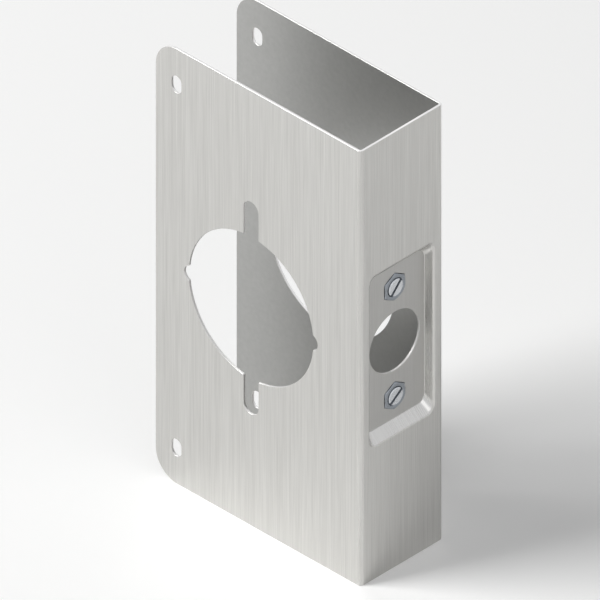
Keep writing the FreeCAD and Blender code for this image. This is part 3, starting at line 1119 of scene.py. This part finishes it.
@dataclass
class InsertNut(Fastener):
    """A hexagon that fills its hole in the pocket floor, with a round flange behind the floor."""

    gauge: float
    stand: float = 0.4 * MM
    """How far the hexagon stands out of the floor."""
    flats: float = 9.0 * MM
    seat_radius: float = 3.2 * MM
    seat_depth: float = 1.3 * MM
    seat_chamfer: float = 0.3 * MM
    bore_radius: float = 2.135 * MM
    edge_break: float = 0.1 * MM
    taper_share: float = 1.2
    """How wide the front's taper is, as a share of what the corners reach past the flats."""
    taper_slope: float = 0.58
    """How deep the taper is for its width: 30 degrees, as on a turned nut."""
    cone_length: float = 4.0 * MM
    cone_sides: int = 96
    flange_sides: int = 72
    seat_sides: int = 64
    bore_sides: int = 48
    slot: ClassVar[str] = "nut_steel"
    zinc: ClassVar[ZincPlate] = NUT_ZINC

    def build(self) -> bpy.types.Object:
        """Models the nut from a hexagonal rod: corners chamfered, flange joined on, bore and seat cut.

        Returns:
            The finished nut, one closed mesh.
        """
        axis = (self.low + self.high) / 2
        front, back = self.high.x, self.low.x
        shoulder = front - self.stand - self.gauge
        corner = self.flats / math.sqrt(3)
        body_middle = Vector(((front + shoulder) / 2, 0, axis.z))
        nut = rod(self.name, Axis.X, body_middle, corner, front - shoulder, HEXAGON_SIDES)
        combine(nut, self.corner_cone(axis.z, corner), Work.TRIM)
        radius = (self.high.y - self.low.y) / 2
        flange_middle = Vector(((shoulder + back) / 2, 0, axis.z))
        flange = rod("flange", Axis.X, flange_middle, radius, shoulder - back, self.flange_sides)
        combine(nut, flange, Work.JOIN)
        length = OVERSHOOT * (front - back)
        combine(nut, rod("bore", Axis.X, axis, self.bore_radius, length, self.bore_sides), Work.CUT)
        face = Vector((front, 0, axis.z))
        seat = rod("seat", Axis.X, face, self.seat_radius, 2 * self.seat_depth, self.seat_sides)
        combine(nut, seat, Work.CUT)
        with edit(nut):
            bpy.ops.mesh.select_all(action="SELECT")
            bpy.ops.mesh.dissolve_degenerate(threshold=NEAR)
            pick(nut, Element.EDGE, self.is_seat_rim)
            bpy.ops.mesh.bevel(offset=self.seat_chamfer, segments=1, affect="EDGES")
        soften(nut, self.edge_break)
        return nut

    def is_seat_rim(self, edge: bmesh.types.BMEdge) -> bool:
        """Whether an edge lies on the rim of the screw's seat in the nut's face.

        Args:
            edge: The edge.

        Returns:
            True where both ends lie on that circle.
        """
        places = [v.co - Vector((self.high.x, 0, self.height)) for v in edge.verts]
        on_face = all(abs(place.x) < SMALL for place in places)
        return on_face and all(abs(place.yz.length - self.seat_radius) < NEAR for place in places)

    def corner_cone(self, height: float, corner: float) -> bpy.types.Object:
        """Makes a rod whose front end tapers, to trim the hexagon's front corners to the usual arcs.

        Args:
            height: The nut's axis along Z.
            corner: From the nut's axis to a corner.

        Returns:
            The tapered rod.
        """
        front = self.high.x
        taper = (corner - self.flats / 2) * self.taper_share
        depth = taper * self.taper_slope
        start = Vector((front - depth - self.cone_length / 2, 0, height))
        cone = rod("corner_cone", Axis.X, start, corner, self.cone_length, self.cone_sides)
        with edit(cone):
            pick(cone, Element.FACE, lambda f: f.normal.x > SQUARE_ON)
            bpy.ops.mesh.extrude_region_move(TRANSFORM_OT_translate={"value": (depth + SMALL, 0, 0)})
            shrink = (corner - taper) / corner
            bpy.ops.transform.resize(value=(1, shrink, shrink), center_override=(front, 0, height))
        return cone


@dataclass
class LatchScrew(Fastener):
    """A slotted machine screw with a low flat head and a rolled thread."""

    head_height: float = 1.6 * MM
    head_rounding: float = 0.25 * MM
    head_steps: int = 3
    head_sides: int = 96
    shank_radius: float = 2.085 * MM
    thread_depth: float = 0.42 * MM
    thread_steps: int = 36
    pitch: float = 0.794 * MM
    spare_turns: int = 3
    """Turns of the thread that are cut off again, half of them at each end."""
    overlap: float = 0.3 * MM
    """How far the shank runs on into the head, so that the two join."""
    slot_width: float = 1.1 * MM
    slot_depth: float = 0.9 * MM
    point_chamfer: float = 0.5 * MM
    point_steps: int = 4
    tooth: ClassVar[tuple[tuple[bool, float], ...]] = (
        (False, 0.0), (False, 0.125), (True, 0.4375), (True, 0.5625), (False, 0.875), (False, 1.0)
    )
    """A tooth's outline: whether a corner lies on the crest, and how far along the pitch."""
    slot: ClassVar[str] = "screw_steel"
    zinc: ClassVar[ZincPlate] = SCREW_ZINC

    def build(self) -> bpy.types.Object:
        """Models the screw: a turned head with its driver slot, and the thread behind it.

        Returns:
            The finished screw, one closed mesh.
        """
        front = self.high.x
        radius = (self.high.z - self.low.z) / 2
        head_middle = Vector((front - self.head_height / 2, 0, self.height))
        screw = rod(self.name, Axis.X, head_middle, radius, self.head_height, self.head_sides)
        with edit(screw):
            pick(screw, Element.EDGE, lambda e: all(abs(v.co.x - front) < SMALL for v in e.verts))
            bpy.ops.mesh.bevel(offset=self.head_rounding, segments=self.head_steps, affect="EDGES")
        combine(screw, self.slot_cutter(radius), Work.CUT)
        combine(screw, self.thread(front - self.head_height), Work.JOIN)
        shade(screw)
        return screw

    def slot_cutter(self, radius: float) -> bpy.types.Object:
        """Makes a block across the head, turned to the angle at which the screw came to rest.

        Args:
            radius: The head's radius.

        Returns:
            The cutter.
        """
        front, reach = self.high.x, OVERSHOOT * radius
        low = Vector((front - self.slot_depth, -reach, -self.slot_width / 2))
        high = Vector((front + self.slot_depth, reach, self.slot_width / 2))
        cutter = block("driver_slot", low, high)
        cutter.rotation_euler = (self.position.value, 0, 0)
        cutter.location = (0, 0, self.height)
        return settle(cutter, "driver_slot")

    def thread(self, seat: float) -> bpy.types.Object:
        """Sweeps one tooth of the thread along a helix, trims both ends flat and closes them.

        Args:
            seat: Where the head's underside lies along X.

        Returns:
            The threaded shank, along X.
        """
        root, crest = self.shank_radius - self.thread_depth, self.shank_radius
        turns = math.ceil((seat - self.low.x) / self.pitch) + self.spare_turns
        bpy.ops.object.select_all(action="DESELECT")
        bpy.ops.mesh.primitive_plane_add(size=1)
        shank = settle(bpy.context.active_object, "thread")
        with edit(shank):
            bpy.ops.mesh.select_all(action="SELECT")
            bpy.ops.mesh.delete(type="VERT")
            mesh = bmesh.from_edit_mesh(shank.data)
            corners = [(crest if on_crest else root, share * self.pitch) for on_crest, share in self.tooth]
            points = [mesh.verts.new((radius, 0, along)) for radius, along in corners]
            for first, second in zip(points, points[1:]):
                mesh.edges.new((first, second))
            bmesh.update_edit_mesh(shank.data)
        apply(
            shank,
            "SCREW",
            axis="Z",
            screw_offset=self.pitch,
            iterations=turns,
            steps=self.thread_steps,
            render_steps=self.thread_steps,
            use_merge_vertices=True,
            merge_threshold=SMALL,
        )
        shank.rotation_euler = Axis.X.value
        shank.location = (self.low.x - self.spare_turns / 2 * self.pitch, 0, self.height)
        settle(shank, "thread")
        with edit(shank):
            bpy.ops.mesh.select_all(action="SELECT")
            bpy.ops.mesh.remove_doubles(threshold=SMALL)
            self.trim(self.low.x, clear_above=False)
            self.trim(seat + self.overlap, clear_above=True)
            bpy.ops.mesh.select_all(action="SELECT")
            bpy.ops.mesh.normals_make_consistent(inside=False)
            self.taper_point(shank)
        return shank

    def taper_point(self, shank: bpy.types.Object) -> None:
        """Draws the thread's start in towards its axis, a step at a time, to a chamfered point.

        Args:
            shank: The threaded shank, open in edit mode.
        """
        share = (1 - self.point_chamfer / self.shank_radius) ** (1 / self.point_steps)
        for step in range(self.point_steps):
            limit = self.low.x + self.point_chamfer * (1 - step / self.point_steps)
            pick(shank, Element.VERT, lambda v: v.co.x < limit)
            bpy.ops.transform.resize(value=(1, share, share), center_override=(self.low.x, 0, self.height))

    def trim(self, level: float, clear_above: bool) -> None:
        """Cuts the open mesh off square at a level of X and closes the cut."""
        bpy.ops.mesh.select_all(action="SELECT")
        saw((level, 0, 0), (1, 0, 0), use_fill=True, clear_inner=not clear_above, clear_outer=clear_above)


@dataclass(frozen=True)
class SoftLamp:
    """A square area lamp, placed from the part's middle and aimed at it."""

    name: str
    place: tuple[float, float, float]
    size: float
    power: float

    def hang(self, centre: Vector) -> None:
        """Adds the lamp to the scene.

        Args:
            centre: The part's middle.
        """
        lamp = bpy.data.lights.new(self.name, "AREA")
        lamp.shape, lamp.size, lamp.energy = "SQUARE", self.size, self.power
        holder = bpy.data.objects.new(self.name, lamp)
        holder.location = centre + Vector(self.place)
        holder.rotation_euler = (-Vector(self.place)).to_track_quat("-Z", "Y").to_euler()
        bpy.context.scene.collection.objects.link(holder)


@dataclass
class Studio:
    """The pale floor, the soft lamps and the camera of the photograph's isometric view."""

    low: Vector
    high: Vector
    azimuth: float = math.radians(44.3)
    elevation: float = math.radians(35.2)
    camera_distance: float = 1.0
    view_width: float = 186.2 * MM
    aim_right: float = 2.4 * MM
    aim_up: float = -5.1 * MM
    floor_width: float = 8.0
    floor_tint: str = "#f6f6f5"
    floor_roughness: float = 0.9
    floor_gloss: float = 0.2
    floor_lift: float = 0.14
    world_tint: str = "#fbfcff"
    world_strength: float = 0.2
    backdrop_strength: float = 0.92
    lamps: tuple[SoftLamp, ...] = (
        SoftLamp("key", (-1.25, -1.6, 1.85), size=1.3, power=68.0),
        SoftLamp("fill", (1.7, -0.5, 1.0), size=1.2, power=3.0),
        SoftLamp("back", (-0.2, 1.6, 1.4), size=1.2, power=3.0),
    )
    """A large key lamp in front, a weak fill at the right and a weak one behind."""

    def build(self) -> None:
        """Makes the floor, the lamps, the world and the camera."""
        self.lay_floor()
        for lamp in self.lamps:
            lamp.hang((self.low + self.high) / 2)
        self.set_world()
        self.set_camera()

    def lay_floor(self) -> None:
        """Lays a wide sheet of matt paper under the part, lifted to white where it is seen or mirrored.

        The paper has hardly any gloss, so it takes the part's soft shadow and no reflection.
        """
        bpy.ops.object.select_all(action="DESELECT")
        bpy.ops.mesh.primitive_plane_add(size=self.floor_width, location=(0, 0, self.low.z))
        floor = settle(bpy.context.active_object, "studio_floor")
        material, tree, output = new_material("matt_studio_paper")
        inputs = {0: self.seen_or_mirrored(tree), 1: self.floor_lift}
        lift = add_node(tree, "ShaderNodeMath", inputs, operation="MULTIPLY").outputs[0]
        tint = linear(self.floor_tint)
        surface = {"Base Color": tint, "Roughness": self.floor_roughness}
        glow = {"Specular IOR Level": self.floor_gloss, "Emission Color": tint, "Emission Strength": lift}
        paper = add_node(tree, "ShaderNodeBsdfPrincipled", surface | glow)
        tree.links.new(paper.outputs[0], output.inputs[0])
        floor.data.materials.append(material)
        floor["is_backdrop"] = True

    def seen_or_mirrored(self, tree: bpy.types.NodeTree) -> Any:
        """A socket that is 1 for camera, glossy and transmission rays and 0 for the rest."""
        rays = add_node(tree, "ShaderNodeLightPath").outputs
        return where_any(tree, *[rays[f"Is {kind} Ray"] for kind in ("Camera", "Glossy", "Transmission")])

    def set_world(self) -> None:
        """Gives even, pale light from all round, and a white backdrop where it is seen or mirrored."""
        world = bpy.data.worlds.new("studio")
        world.use_nodes = True
        tree = world.node_tree
        background = tree.nodes["Background"]
        background.inputs["Color"].default_value = linear(self.world_tint)
        inputs = {"Value": self.seen_or_mirrored(tree), "From Min": 0.0, "From Max": 1.0}
        strengths = {"To Min": self.world_strength, "To Max": self.backdrop_strength}
        strength = add_node(tree, "ShaderNodeMapRange", inputs | strengths).outputs[0]
        tree.links.new(strength, background.inputs["Strength"])
        bpy.context.scene.world = world

    def set_camera(self) -> None:
        """Sets a parallel camera at the drawing's angle, so that the part lies where it is drawn."""
        back = Vector((
            math.sin(self.azimuth) * math.cos(self.elevation),
            -math.cos(self.azimuth) * math.cos(self.elevation),
            math.sin(self.elevation),
        ))
        turn = (-back).to_track_quat("-Z", "Y")
        right, up = turn @ Vector((1, 0, 0)), turn @ Vector((0, 1, 0))
        data = bpy.data.cameras.new("camera")
        data.type, data.ortho_scale = "ORTHO", self.view_width
        camera = bpy.data.objects.new("camera", data)
        camera.location = back * self.camera_distance + right * self.aim_right + up * self.aim_up
        camera.rotation_euler = turn.to_euler()
        bpy.context.scene.collection.objects.link(camera)
        bpy.context.scene.camera = camera


@dataclass
class DoorReinforcer:
    """The whole product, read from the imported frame."""

    frame: dict

    def pieces(self) -> list[Piece]:
        """Sizes the plate, the nuts and the screws, in the order in which they are built.

        Returns:
            Each piece, with its box and what the record says of it.
        """
        mounts = {mount["name"]: mount for mount in self.frame["record"]["mounts"]}
        hole, bore = mounts["latch_hole"]["dims"], mounts["lock_bore"]["dims"]
        slots, slot_x = mounts["near_flange_screws"]["dims"], mounts["near_flange_screws"]["pos_m"][0]
        gauge = hole["length_mm"] * MM
        nuts = [InsertNut(node, *self.corners(node), gauge) for node in self.nodes("insert_nut")]
        screws = [LatchScrew(node, *self.corners(node)) for node in self.nodes("latch_screw")]
        plate = ReinforcerPlate(
            "reinforcer_plate",
            *self.corners("reinforcer_plate"),
            bore_radius=bore["r_mm"] * MM,
            latch_radius=hole["r_mm"] * MM,
            gauge=gauge,
            slot_centre=Vector((slot_x, 0, slots["spacing_y_mm"] / 2 * MM)),
            slot_width=2 * slots["hole_r_mm"] * MM,
            slot_length=slots["slot_length_mm"] * MM,
            nut_heights=tuple(nut.height for nut in nuts),
        )
        return [plate, *nuts, *screws]

    def corners(self, node: str) -> list[Vector]:
        """The lowest and highest corners of a CAD node."""
        return [Vector(corner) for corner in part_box(node)]

    def nodes(self, ending: str) -> list[str]:
        """The CAD nodes whose names end in a word."""
        return sorted(name for name in self.frame["nodes"] if name.endswith(ending))


def main() -> None:
    """Loads the frame, builds each piece, and sets the studio round the CAD parts' box."""
    logging.basicConfig(level=logging.INFO, format="%(message)s")
    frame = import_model()
    cad_box = [list(corner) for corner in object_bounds()]
    for piece in DoorReinforcer(frame).pieces():
        mesh = piece.build()
        piece.dress(mesh)
        LOG.info("%s stands for %s: %d faces", mesh.name, piece.node, len(mesh.data.polygons))
    Studio(*[Vector(corner) for corner in cad_box]).build()
    bpy.context.scene.view_settings.view_transform = "Standard"


if __name__ == "__main__":
    main()
